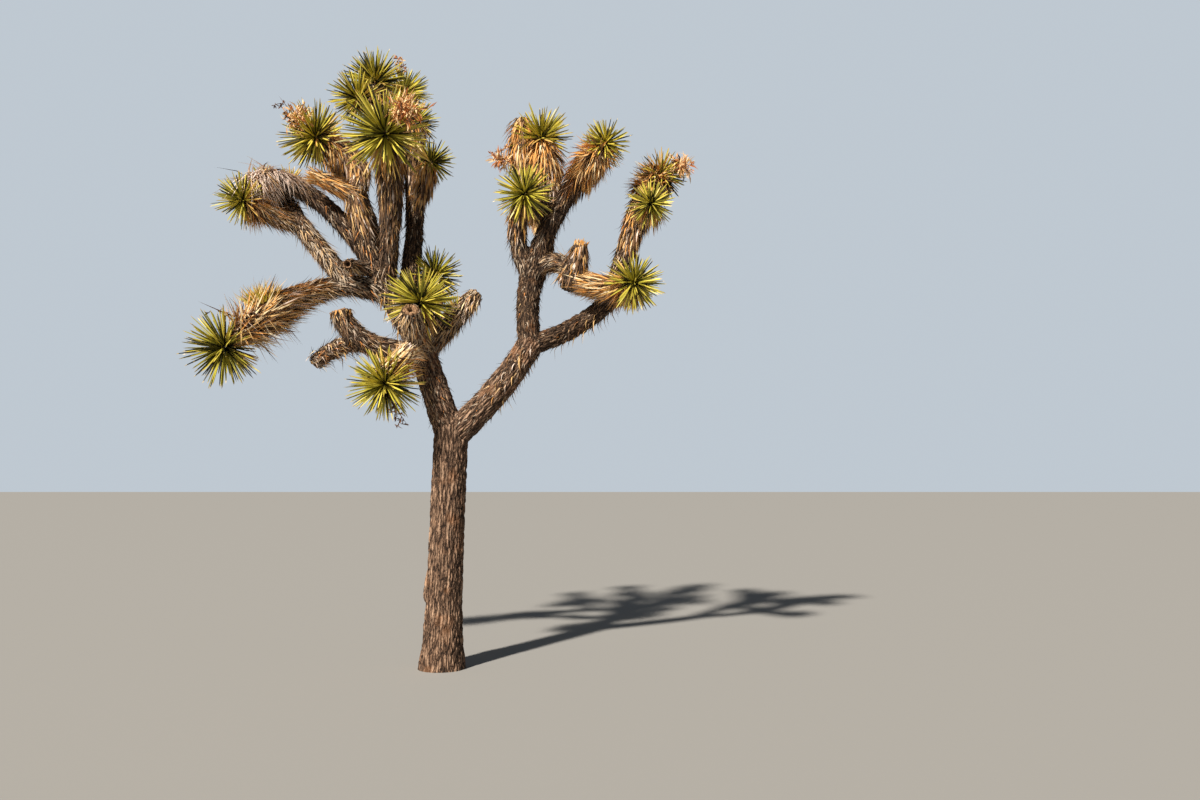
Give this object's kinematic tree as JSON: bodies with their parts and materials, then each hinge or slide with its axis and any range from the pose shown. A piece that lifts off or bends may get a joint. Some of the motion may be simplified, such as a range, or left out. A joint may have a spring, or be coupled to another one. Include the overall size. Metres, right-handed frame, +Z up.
{
  "type": "joshua tree",
  "caption": "Desert tree yucca with a short thick trunk, forked crooked boughs wrapped in dead leaves, and round heads of stiff dagger leaves at the tips.",
  "frame": {"origin": "centre of the flat cut under the trunk, at ground level", "axes": "+Z up along the trunk, +X to the right of the crown as seen from the side of the picture, +Y away from that viewer"},
  "size_m": [4.6263, 2.1633, 5.91],
  "materials": {
    "bark": "rough fissured corky bark, grey-brown, matt",
    "thatch": "limb wrapped in dry dead leaves that lie back along it, tan to grey, matt",
    "leaves": "stiff dagger leaves, yellow-green to olive with brown tips, faint sheen"
  },
  "bodies": {
    "root": {"trunk": "bark", "left_bough": "bark", "west_bough": "bark", "far_left_limb": "thatch", "pale_limb": "bark", "left_arm": "thatch", "up_arm": "thatch", "dark_limb": "thatch", "mid_limb": "bark", "mid_arm": "thatch", "rear_upper_limb": "thatch", "front_limb": "thatch", "back_limb": "thatch", "back_arm": "thatch", "side_arm": "thatch", "top_limb": "thatch", "top_arm": "bark", "inner_limb": "thatch", "inner_arm": "thatch", "front_stub": "bark", "left_stub": "bark", "right_stub": "bark", "drooping_arm": "thatch", "rear_left_limb": "thatch", "right_bough": "bark", "inner_bough": "bark", "left_prong": "thatch", "right_prong": "thatch", "crest_limb": "thatch", "dry_limb": "thatch", "perch_limb": "bark", "perch_arm": "thatch", "outer_bough": "bark", "outer_limb": "thatch", "outer_arm": "thatch", "rear_outer_limb": "thatch", "rear_right_limb": "thatch", "far_left_head": "leaves", "left_head": "leaves", "left_back_head": "leaves", "upper_left_head": "leaves", "rear_upper_head": "leaves", "front_head": "leaves", "side_head": "leaves", "back_right_head": "leaves", "back_top_head": "leaves", "top_head": "leaves", "top_left_head": "leaves", "inner_front_head": "leaves", "inner_back_head": "leaves", "drooping_head": "leaves", "rear_left_head": "leaves", "prong_head": "leaves", "right_prong_head": "leaves", "crest_head": "leaves", "perch_head": "leaves", "outer_head": "leaves", "outer_front_head": "leaves", "rear_outer_head": "leaves", "rear_right_head": "leaves"}
  },
  "joints": []
}
